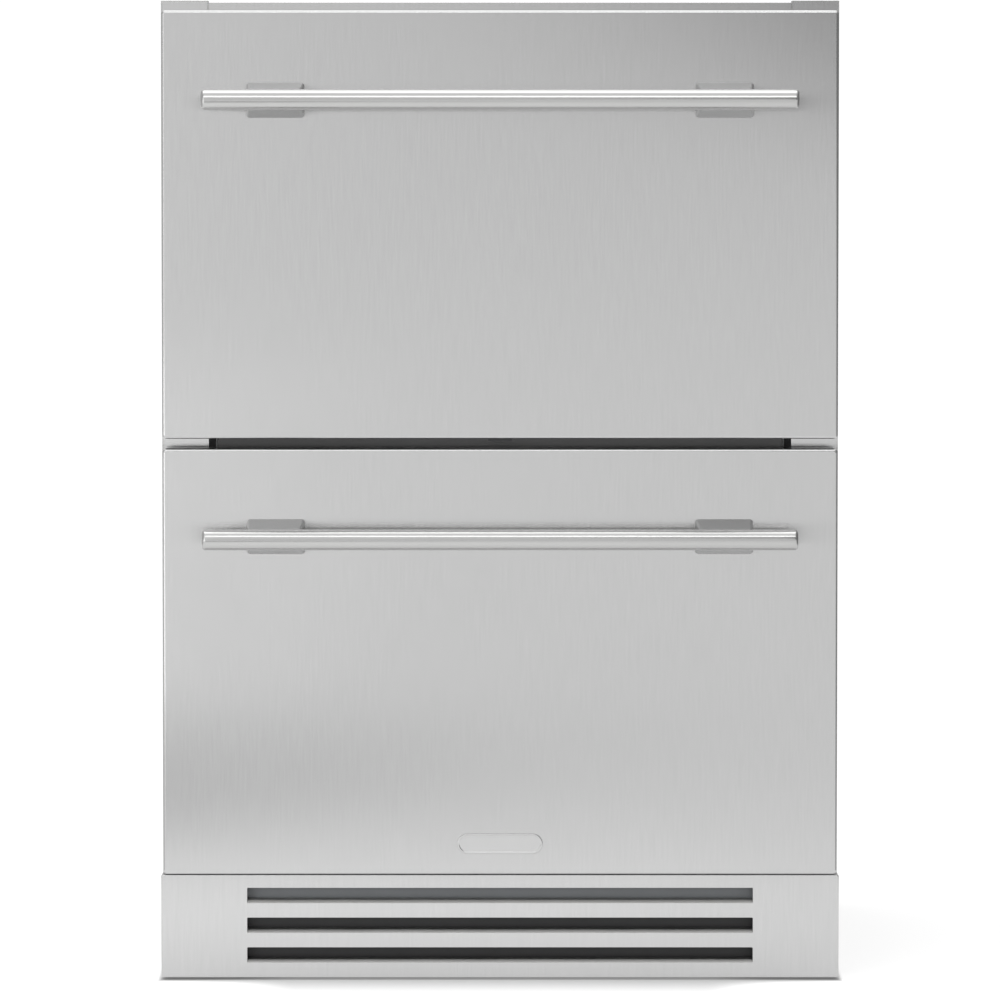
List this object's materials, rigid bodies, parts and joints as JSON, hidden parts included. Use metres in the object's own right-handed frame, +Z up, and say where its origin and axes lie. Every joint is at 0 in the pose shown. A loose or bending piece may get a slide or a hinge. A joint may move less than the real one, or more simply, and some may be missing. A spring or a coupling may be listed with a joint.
{
  "type": "under counter fridge",
  "caption": "Under counter fridge with stacked insulated drawers on full-extension slides, round bar handles, a louvred plinth grille and a fan-cooled compressor unit.",
  "frame": {"origin": "on the floor, at the middle of the whole object's width and depth, handle bars included", "axes": "+Z up; the drawer fronts face -Y; +X to the viewer's right"},
  "size_m": [0.606, 0.67, 0.873],
  "materials": {
    "front_steel": "vertical brushed grain",
    "frame_steel": "brushed",
    "handle_steel": "satin, turned",
    "bracket_steel": "satin",
    "screw_steel": "zinc plated",
    "bin_steel": "fine satin",
    "slide_zinc": "bright zinc",
    "case_paint": "fine black powder coat",
    "back_zinc": "galvanised",
    "liner_plastic": "pale grey, semi-gloss",
    "foam": "rigid foam, open cells at its skin",
    "gasket_rubber": "soft, matte",
    "mullion_paint": "satin dark grey",
    "trim_black": "fine moulded grain",
    "badge_plate": "blank, polished",
    "coil_alloy": "mill finish",
    "fan_plastic": "moulded",
    "motor_steel": "pressed, painted",
    "shell_paint": "gloss black",
    "copper": "copper, drawn",
    "lamp_lens": "frosted lens",
    "button_plastic": "moulded",
    "foot_steel": "zinc plated"
  },
  "bodies": {
    "cabinet": {"side_panel_left": "case_paint", "side_panel_right": "case_paint", "top_panel": "case_paint", "back_panel": "back_zinc", "case_screws": "screw_steel", "insulation_foam": "foam", "inner_liner": "liner_plastic", "face_frame": "frame_steel", "breaker_strips": "trim_black", "mullion_bar": "mullion_paint", "slide_outer_rails": "slide_zinc", "kick_grille": "front_steel", "base_pan": "back_zinc", "condenser_coil": "coil_alloy", "condenser_fan_shroud": "back_zinc", "condenser_fan_motor": "motor_steel", "compressor": "shell_paint", "compressor_mounts": "gasket_rubber", "terminal_cover": "trim_black", "condensate_tray": "trim_black", "drain_tube": "trim_black", "filter_drier": "copper", "refrigerant_lines": "copper", "evaporator_coil": "coil_alloy", "evaporator_fan_motor": "motor_steel", "evaporator_cover": "liner_plastic", "led_strips": "lamp_lens", "control_housing": "trim_black", "power_inlet": "trim_black"},
    "upper_drawer": {"upper_front_skin": "front_steel", "upper_front_foam": "foam", "upper_inner_pan": "liner_plastic", "upper_gasket": "gasket_rubber", "upper_handle_bar": "handle_steel", "upper_handle_brackets": "bracket_steel", "upper_handle_screws": "screw_steel", "upper_edge_plug": "trim_black", "upper_bin": "bin_steel", "upper_inner_rails": "slide_zinc"},
    "lower_drawer": {"lower_front_skin": "front_steel", "lower_front_foam": "foam", "lower_inner_pan": "liner_plastic", "lower_gasket": "gasket_rubber", "lower_handle_bar": "handle_steel", "lower_handle_brackets": "bracket_steel", "lower_handle_screws": "screw_steel", "lower_edge_plug": "trim_black", "lower_bin": "bin_steel", "lower_inner_rails": "slide_zinc", "badge": "badge_plate"},
    "upper_mid_slides": {"upper_mid_rails": "slide_zinc"},
    "lower_mid_slides": {"lower_mid_rails": "slide_zinc"},
    "condenser_fan": {"condenser_fan_blade": "fan_plastic"},
    "evaporator_fan": {"evaporator_fan_blade": "fan_plastic"},
    "warmer_button": {"button_warmer": "button_plastic"},
    "colder_button": {"button_colder": "button_plastic"},
    "levelling_foot_front_left": {"foot_front_left": "foot_steel"},
    "levelling_foot_front_right": {"foot_front_right": "foot_steel"},
    "levelling_foot_rear_left": {"foot_rear_left": "foot_steel"},
    "levelling_foot_rear_right": {"foot_rear_right": "foot_steel"}
  },
  "joints": [
    {"name": "upper_drawer_slide", "type": "slide", "parent": "cabinet", "child": "upper_drawer", "axis": [0, -1, 0], "range_m": [0, 0.4]},
    {"name": "upper_mid_slide", "type": "slide", "parent": "cabinet", "child": "upper_mid_slides", "axis": [0, -1, 0], "range_m": [0, 0.2]},
    {"name": "lower_drawer_slide", "type": "slide", "parent": "cabinet", "child": "lower_drawer", "axis": [0, -1, 0], "range_m": [0, 0.4]},
    {"name": "lower_mid_slide", "type": "slide", "parent": "cabinet", "child": "lower_mid_slides", "axis": [0, -1, 0], "range_m": [0, 0.2]},
    {"name": "condenser_fan_spin", "type": "hinge", "parent": "cabinet", "child": "condenser_fan", "pos_m": [-0.07, 0.1922, 0.106], "axis": [0, 1, 0], "continuous": true},
    {"name": "evaporator_fan_spin", "type": "hinge", "parent": "cabinet", "child": "evaporator_fan", "pos_m": [0, 0.2452, 0.735], "axis": [0, 1, 0], "continuous": true},
    {"name": "warmer_button_press", "type": "slide", "parent": "cabinet", "child": "warmer_button", "axis": [0, 1, 0], "range_m": [0, 0.0008], "stiffness_N_per_m": 300},
    {"name": "colder_button_press", "type": "slide", "parent": "cabinet", "child": "colder_button", "axis": [0, 1, 0], "range_m": [0, 0.0008], "stiffness_N_per_m": 300},
    {"name": "front_left_foot_screw", "type": "slide", "parent": "cabinet", "child": "levelling_foot_front_left", "axis": [0, 0, -1], "range_m": [0, 0.02]},
    {"name": "front_right_foot_screw", "type": "slide", "parent": "cabinet", "child": "levelling_foot_front_right", "axis": [0, 0, -1], "range_m": [0, 0.02]},
    {"name": "rear_left_foot_screw", "type": "slide", "parent": "cabinet", "child": "levelling_foot_rear_left", "axis": [0, 0, -1], "range_m": [0, 0.02]},
    {"name": "rear_right_foot_screw", "type": "slide", "parent": "cabinet", "child": "levelling_foot_rear_right", "axis": [0, 0, -1], "range_m": [0, 0.02]}
  ],
  "couplings": [
    {"joint": "upper_mid_slide", "follows": "upper_drawer_slide", "ratio": 0.5},
    {"joint": "lower_mid_slide", "follows": "lower_drawer_slide", "ratio": 0.5}
  ]
}
